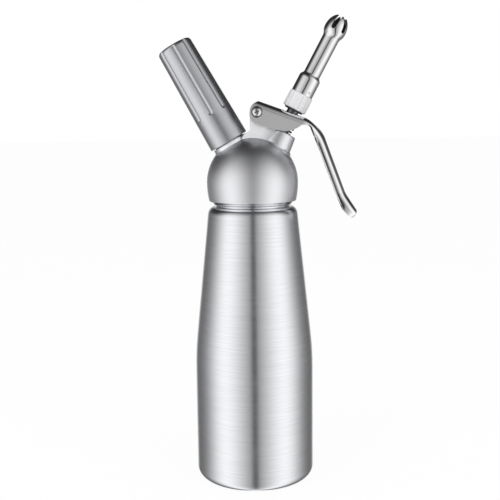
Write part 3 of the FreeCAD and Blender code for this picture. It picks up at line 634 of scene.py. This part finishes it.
# Light by the turn of its direction, from the camera's side round to the back
SOFT_LIGHT = radians(60)
FADE_TO_FRONT = radians(45)
FADE_TO_BACK = radians(37)
FLAG_LEVEL = 0.14
FRONT_GAP = (radians(3.5), radians(7.0))
GAP_LEVEL = 0.1
BACK_WALL = (radians(146), radians(174))

# Light by the height of its direction, in front and behind
FALL_OFF_POWER = 1.3
FADE_UP_BEHIND = 0.2
BEHIND = (radians(75), radians(115))
CEILING = 0.025

# Strength of that light in reflections, and of the even light on everything else
REFLECTED_LEVEL = 1.06
ROOM_LEVEL = 0.72

# Floor and camera
FLOOR_WHITE = 0.94
FLOOR_SIZE = 30.0
FLOOR_GAP = 0.1 * MM
EYE = (0, -0.568, 0.239)
EYE_TURN = radians(0.22)
EYE_NOD = radians(90 - 8.3)
EYE_ROLL = radians(-0.66)


def faded(tree, distance, spread):
    """Level that falls from one along a bell curve of this spread."""
    share = maths(tree, "DIVIDE", distance, spread)
    return maths(tree, "EXPONENT", times(tree, times(tree, share, share), -1.0))


def studio_world():
    """White room with two broad soft lights in front, a dark gap between them and dark flags beside."""
    world = bpy.data.worlds.new("studio")
    world.use_nodes = True
    bpy.context.scene.world = world
    tree = world.node_tree
    tree.nodes.clear()
    x, y, z = xyz(tree, node(tree, "ShaderNodeTexCoord").outputs["Generated"])
    turn = maths(tree, "ABSOLUTE", maths(tree, "ARCTAN2", x, times(tree, y, -1.0)))
    off_light = maths(tree, "SUBTRACT", turn, SOFT_LIGHT)
    to_front = faded(tree, maths(tree, "MINIMUM", off_light, 0.0), FADE_TO_FRONT)
    to_back = faded(tree, maths(tree, "MAXIMUM", off_light, 0.0), FADE_TO_BACK)
    back_wall = remap(tree, turn, *BACK_WALL, smooth=True)
    bright = maths(tree, "MULTIPLY_ADD", to_front, to_back, back_wall)
    past_gap = remap(tree, turn, *FRONT_GAP, GAP_LEVEL, 1.0)
    by_turn = times(tree, mixed(tree, bright, FLAG_LEVEL, 1.0), past_gap)
    up = maths(tree, "MAXIMUM", z, 0.0)
    in_front = maths(tree, "POWER", one_minus(tree, times(tree, up, up)), FALL_OFF_POWER)
    by_height = mixed(tree, remap(tree, turn, *BEHIND), in_front, faded(tree, up, FADE_UP_BEHIND))
    lit = times(tree, maths(tree, "SUBTRACT", by_turn, CEILING), by_height)
    studio = times(tree, maths(tree, "ADD", lit, CEILING), REFLECTED_LEVEL)
    path = node(tree, "ShaderNodeLightPath").outputs
    shiny = maths(tree, "MAXIMUM", path["Is Glossy Ray"], path["Is Transmission Ray"])
    level = mixed(tree, shiny, ROOM_LEVEL, studio)
    light = node(tree, "ShaderNodeBackground")
    light.inputs["Color"].default_value = (1, 1, 1, 1)
    plug(tree, light.inputs["Strength"], mixed(tree, path["Is Camera Ray"], level, 1.0))
    out = node(tree, "ShaderNodeOutputWorld")
    plug(tree, out.inputs["Surface"], light.outputs[0])


def studio_floor():
    """White sheet that keeps the object's shadow."""
    bpy.ops.mesh.primitive_plane_add(size=FLOOR_SIZE, location=(0, 0, -FLOOR_GAP))
    floor = bpy.context.object
    floor.name = "floor"
    material, tree, surface = new_material("white_floor")
    surface.inputs["Base Color"].default_value = (0.95, 0.95, 0.95, 1)
    surface.inputs["Roughness"].default_value = 0.9
    surface.inputs["Specular IOR Level"].default_value = 0.0
    path = node(tree, "ShaderNodeLightPath").outputs
    seen = maths(tree, "MAXIMUM", path["Is Camera Ray"], path["Is Glossy Ray"])
    seen = maths(tree, "MAXIMUM", seen, path["Is Transmission Ray"])
    shown = node(tree, "ShaderNodeMixShader")
    plug(tree, shown.inputs[0], times(tree, seen, FLOOR_WHITE))
    plug(tree, shown.inputs[1], surface.outputs[0])
    plug(tree, shown.inputs[2], node(tree, "ShaderNodeEmission").outputs[0])
    plug(tree, tree.nodes["Material Output"].inputs["Surface"], shown.outputs[0])
    floor.data.materials.append(material)
    floor.visible_glossy = False


def soft_lamp(name, place, aim, size, power):
    data = bpy.data.lights.new(name, "AREA")
    data.shape = "RECTANGLE"
    data.size, data.size_y = size
    data.energy = power
    lamp = bpy.data.objects.new(name, data)
    bpy.context.scene.collection.objects.link(lamp)
    lamp.location = place
    lamp.rotation_euler = (Vector(aim) - Vector(place)).to_track_quat("-Z", "Y").to_euler()
    lamp.visible_glossy = False


def camera():
    turned = Matrix.Rotation(EYE_TURN, 4, "Z")
    nodded = Matrix.Rotation(EYE_NOD, 4, "X")
    rolled = Matrix.Rotation(EYE_ROLL, 4, "Z")
    bpy.ops.object.camera_add()
    view = bpy.context.object
    view.name = "camera"
    view.data.lens = 61.2
    view.data.sensor_width = 36.0
    view.data.clip_start = 0.01
    view.matrix_world = Matrix.Translation(EYE) @ turned @ nodded @ rolled
    bpy.context.scene.camera = view


studio_world()
studio_floor()
soft_lamp("lamp_left", (-0.9, -1.0, 0.9), (0, 0, 0.15), (0.9, 1.2), 9.0)
soft_lamp("lamp_right", (0.9, -1.0, 0.8), (0, 0, 0.15), (0.9, 1.2), 6.0)
camera()
bpy.context.scene.view_settings.view_transform = "Standard"
